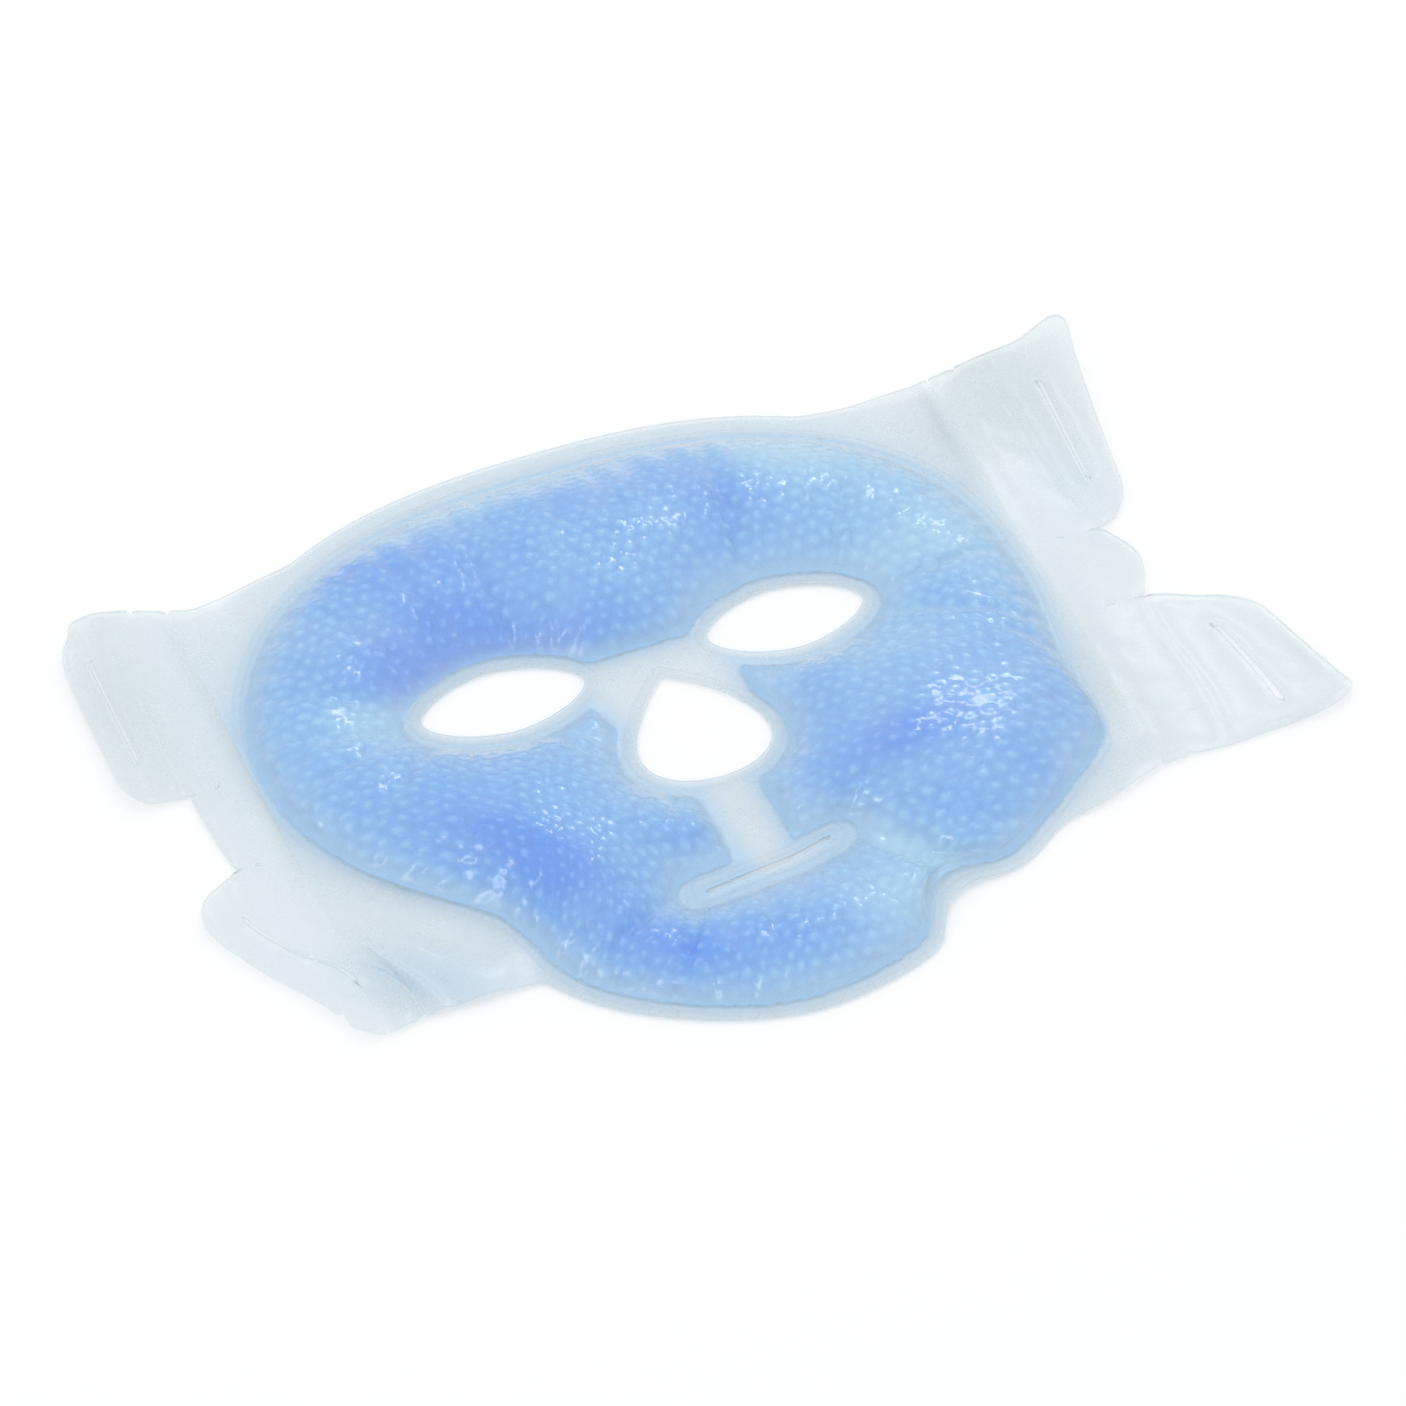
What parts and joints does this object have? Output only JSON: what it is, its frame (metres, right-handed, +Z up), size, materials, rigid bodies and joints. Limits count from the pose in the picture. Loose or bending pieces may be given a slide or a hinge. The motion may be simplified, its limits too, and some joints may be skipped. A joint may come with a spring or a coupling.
{
  "type": "gel face mask",
  "caption": "Full-face gel pad in clear film with eye, nose and mouth openings and folding side wings that end in strap tabs.",
  "frame": {"origin": "centre of the mask's outline, on the surface that the back film lies on", "axes": "+X across the face from the left wing to the right wing, +Y to the forehead, +Z up, away from the skin"},
  "size_m": [0.284, 0.201, 0.013],
  "materials": {
    "clear_film": "clear soft vinyl film, glossy",
    "blue_gel": "wet blue gel, beaded",
    "weld": "pressed film weld, satin"
  },
  "bodies": {
    "root": {"back_film": "clear_film", "front_film": "clear_film", "gel_fill": "blue_gel", "perimeter_weld": "weld", "left_eye_weld": "weld", "right_eye_weld": "weld", "nose_weld": "weld", "mouth_weld": "weld"},
    "left_wing": {"left_wing": "clear_film"},
    "right_wing": {"right_wing": "clear_film"},
    "upper_left_tab": {"upper_left_tab": "clear_film"},
    "lower_left_tab": {"lower_left_tab": "clear_film"},
    "upper_right_tab": {"upper_right_tab": "clear_film"},
    "lower_right_tab": {"lower_right_tab": "clear_film"}
  },
  "joints": [
    {"name": "left_wing_fold", "type": "hinge", "parent": "root", "child": "left_wing", "pos_m": [-0.106, 0.0114, 0.001], "axis": [0, 1, 0], "range_deg": [0, 90], "stiffness_Nm_per_rad": 0.006},
    {"name": "right_wing_fold", "type": "hinge", "parent": "root", "child": "right_wing", "pos_m": [0.106, 0.0114, 0.001], "axis": [0, -1, 0], "range_deg": [0, 90], "stiffness_Nm_per_rad": 0.006},
    {"name": "upper_left_tab_fold", "type": "hinge", "parent": "left_wing", "child": "upper_left_tab", "pos_m": [-0.119, 0.056, 0.001], "axis": [0, 1, 0], "range_deg": [0, 90], "stiffness_Nm_per_rad": 0.003},
    {"name": "lower_left_tab_fold", "type": "hinge", "parent": "left_wing", "child": "lower_left_tab", "pos_m": [-0.119, -0.036, 0.001], "axis": [0, 1, 0], "range_deg": [0, 90], "stiffness_Nm_per_rad": 0.003},
    {"name": "upper_right_tab_fold", "type": "hinge", "parent": "right_wing", "child": "upper_right_tab", "pos_m": [0.119, 0.056, 0.001], "axis": [0, -1, 0], "range_deg": [0, 90], "stiffness_Nm_per_rad": 0.003},
    {"name": "lower_right_tab_fold", "type": "hinge", "parent": "right_wing", "child": "lower_right_tab", "pos_m": [0.119, -0.036, 0.001], "axis": [0, -1, 0], "range_deg": [0, 90], "stiffness_Nm_per_rad": 0.003}
  ]
}
